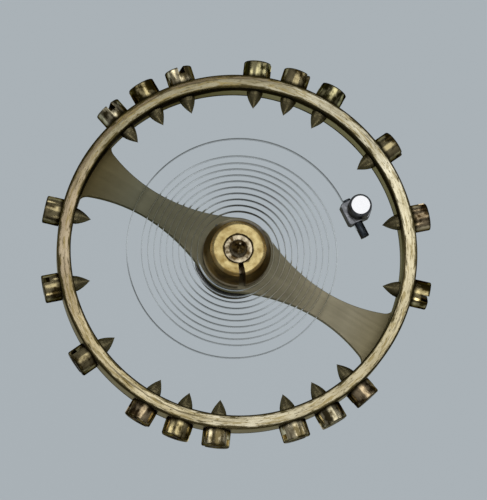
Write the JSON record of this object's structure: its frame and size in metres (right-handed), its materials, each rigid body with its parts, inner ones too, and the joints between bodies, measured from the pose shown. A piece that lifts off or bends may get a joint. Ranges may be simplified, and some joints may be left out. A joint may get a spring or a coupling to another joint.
{
  "type": "screwed balance wheel with hairspring",
  "caption": "Screwed balance wheel of a pocket watch with straight arms, staff, roller with impulse jewel, split collet, flat spiral hairspring and pinned stud.",
  "frame": {"origin": "tip of the lower pivot, on the staff's axis", "axes": "+Z along the staff from the roller towards the hairspring and upper pivot; +X along one arm of the wheel, +Y across the arms towards the side where the stud stands"},
  "size_m": [0.018, 0.0186, 0.0056],
  "materials": {
    "wheel_brass": "polished rim face, fine grained arms, slightly tarnished",
    "screw_brass": "polished, tarnished in the slots",
    "staff_steel": "turned and polished",
    "roller_steel": "polished",
    "ruby": "polished jewel",
    "collet_brass": "polished",
    "pin_steel": "dark drawn",
    "spring_steel": "hardened and polished",
    "stud_steel": "dark sides, polished end"
  },
  "bodies": {
    "stud_body": {"stud": "stud_steel", "stud_pin": "pin_steel"},
    "balance": {"wheel": "wheel_brass", "rim_screw_01": "screw_brass", "rim_screw_02": "screw_brass", "rim_screw_03": "screw_brass", "rim_screw_04": "screw_brass", "rim_screw_05": "screw_brass", "rim_screw_06": "screw_brass", "rim_screw_07": "screw_brass", "rim_screw_08": "screw_brass", "rim_screw_09": "screw_brass", "rim_screw_10": "screw_brass", "rim_screw_11": "screw_brass", "rim_screw_12": "screw_brass", "rim_screw_13": "screw_brass", "rim_screw_14": "screw_brass", "rim_screw_15": "screw_brass", "rim_screw_16": "screw_brass", "rim_screw_17": "screw_brass", "rim_screw_18": "screw_brass", "balance_staff": "staff_steel", "roller_table": "roller_steel", "impulse_jewel": "ruby", "collet": "collet_brass", "collet_pin": "pin_steel", "hairspring": "spring_steel"}
  },
  "joints": [
    {"name": "balance_swing", "type": "hinge", "parent": "stud_body", "child": "balance", "pos_m": [0, 0, 0], "axis": [0, 0, 1], "range_deg": [-300, 300], "stiffness_Nm_per_rad": 0.000012, "deforming": ["hairspring"]}
  ]
}
